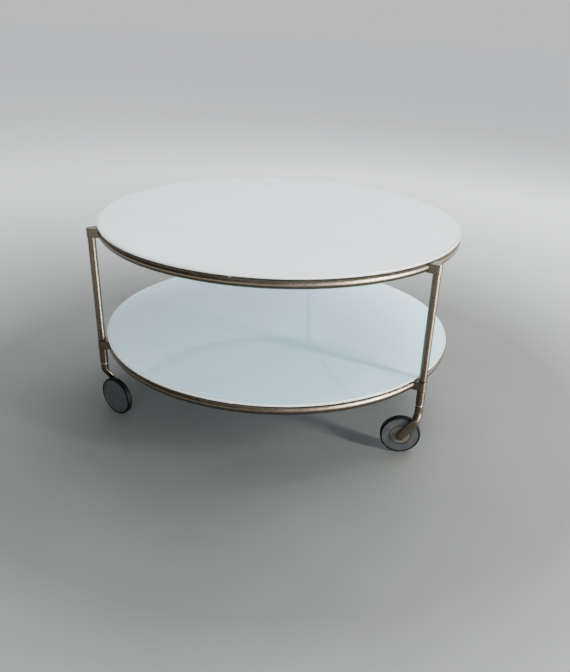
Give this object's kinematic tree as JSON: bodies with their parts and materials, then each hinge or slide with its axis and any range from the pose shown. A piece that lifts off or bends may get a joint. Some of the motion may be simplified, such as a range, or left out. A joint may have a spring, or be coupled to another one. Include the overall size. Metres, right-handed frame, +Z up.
{
  "type": "rolling coffee table",
  "caption": "Round two-tier coffee table: white-backed glass tops on nickel-plated tube rings, with slim legs on swivelling wheels.",
  "frame": {"origin": "centre of the round tops, on the floor", "axes": "+Z up; -Y is the side the picture was taken from; the legs stand at 77, 197 and 317 degrees from +X"},
  "size_m": [0.7553, 0.7617, 0.412],
  "materials": {
    "top_glass": "clear glass, 5 mm, white enamel on its underside",
    "clear_pad": "clear soft plastic",
    "nickel_tube": "satin nickel-plated steel tube",
    "nickel_rod": "satin nickel-plated steel rod",
    "nickel_lug": "satin nickel-plated steel",
    "zinc_steel": "zinc-plated steel",
    "dark_spacer": "dark",
    "swivel_bush": "dark nylon",
    "arm_nickel": "satin nickel-plated steel tube",
    "wheel_disc": "grey moulded nylon",
    "tyre": "black rubber",
    "hub_plate": "beige-grey moulded plate",
    "wheel_bush": "natural nylon"
  },
  "bodies": {
    "frame": {"upper_glass": "top_glass", "lower_glass": "top_glass", "upper_pads": "clear_pad", "lower_pads": "clear_pad", "upper_ring": "nickel_tube", "lower_ring": "nickel_tube", "upper_rod_rear": "nickel_rod", "upper_rod_left": "nickel_rod", "upper_rod_right": "nickel_rod", "lower_rod_rear": "nickel_rod", "lower_rod_left": "nickel_rod", "lower_rod_right": "nickel_rod", "upper_lug_rear": "nickel_lug", "upper_lug_left": "nickel_lug", "upper_lug_right": "nickel_lug", "lower_lug_rear": "nickel_lug", "lower_lug_left": "nickel_lug", "lower_lug_right": "nickel_lug", "leg_tube_rear": "nickel_tube", "leg_tube_left": "nickel_tube", "leg_tube_right": "nickel_tube", "leg_stud_rear": "zinc_steel", "leg_stud_left": "zinc_steel", "leg_stud_right": "zinc_steel", "leg_collar_rear": "dark_spacer", "leg_collar_left": "dark_spacer", "leg_collar_right": "dark_spacer", "swivel_bush_rear": "swivel_bush", "swivel_bush_left": "swivel_bush", "swivel_bush_right": "swivel_bush"},
    "caster_rear": {"caster_pin_rear": "zinc_steel", "caster_collar_rear": "arm_nickel", "caster_arm_rear": "arm_nickel", "axle_rear": "zinc_steel", "axle_washer_rear": "zinc_steel", "axle_clip_rear": "zinc_steel"},
    "wheel_rear": {"wheel_disc_rear": "wheel_disc", "wheel_tyre_rear": "tyre", "hub_plate_rear": "hub_plate", "wheel_bush_rear": "wheel_bush"},
    "caster_left": {"caster_pin_left": "zinc_steel", "caster_collar_left": "arm_nickel", "caster_arm_left": "arm_nickel", "axle_left": "zinc_steel", "axle_washer_left": "zinc_steel", "axle_clip_left": "zinc_steel"},
    "wheel_left": {"wheel_disc_left": "wheel_disc", "wheel_tyre_left": "tyre", "hub_plate_left": "hub_plate", "wheel_bush_left": "wheel_bush"},
    "caster_right": {"caster_pin_right": "zinc_steel", "caster_collar_right": "arm_nickel", "caster_arm_right": "arm_nickel", "axle_right": "zinc_steel", "axle_washer_right": "zinc_steel", "axle_clip_right": "zinc_steel"},
    "wheel_right": {"wheel_disc_right": "wheel_disc", "wheel_tyre_right": "tyre", "hub_plate_right": "hub_plate", "wheel_bush_right": "wheel_bush"}
  },
  "joints": [
    {"name": "swivel_rear", "type": "hinge", "parent": "frame", "child": "caster_rear", "pos_m": [0.08694, 0.37659, 0.11], "axis": [0, 0, 1], "continuous": true},
    {"name": "spin_rear", "type": "hinge", "parent": "caster_rear", "child": "wheel_rear", "pos_m": [0.08694, 0.34519, 0.041], "axis": [-1, 0, 0], "continuous": true},
    {"name": "swivel_left", "type": "hinge", "parent": "frame", "child": "caster_left", "pos_m": [-0.36961, -0.113, 0.11], "axis": [0, 0, 1], "continuous": true},
    {"name": "spin_left", "type": "hinge", "parent": "caster_left", "child": "wheel_left", "pos_m": [-0.34418, -0.13141, 0.041], "axis": [-0.5864, -0.81, 0], "continuous": true},
    {"name": "swivel_right", "type": "hinge", "parent": "frame", "child": "caster_right", "pos_m": [0.28267, -0.26359, 0.11], "axis": [0, 0, 1], "continuous": true},
    {"name": "spin_right", "type": "hinge", "parent": "caster_right", "child": "wheel_right", "pos_m": [0.25141, -0.26058, 0.041], "axis": [0.0958, 0.9954, 0], "continuous": true}
  ]
}
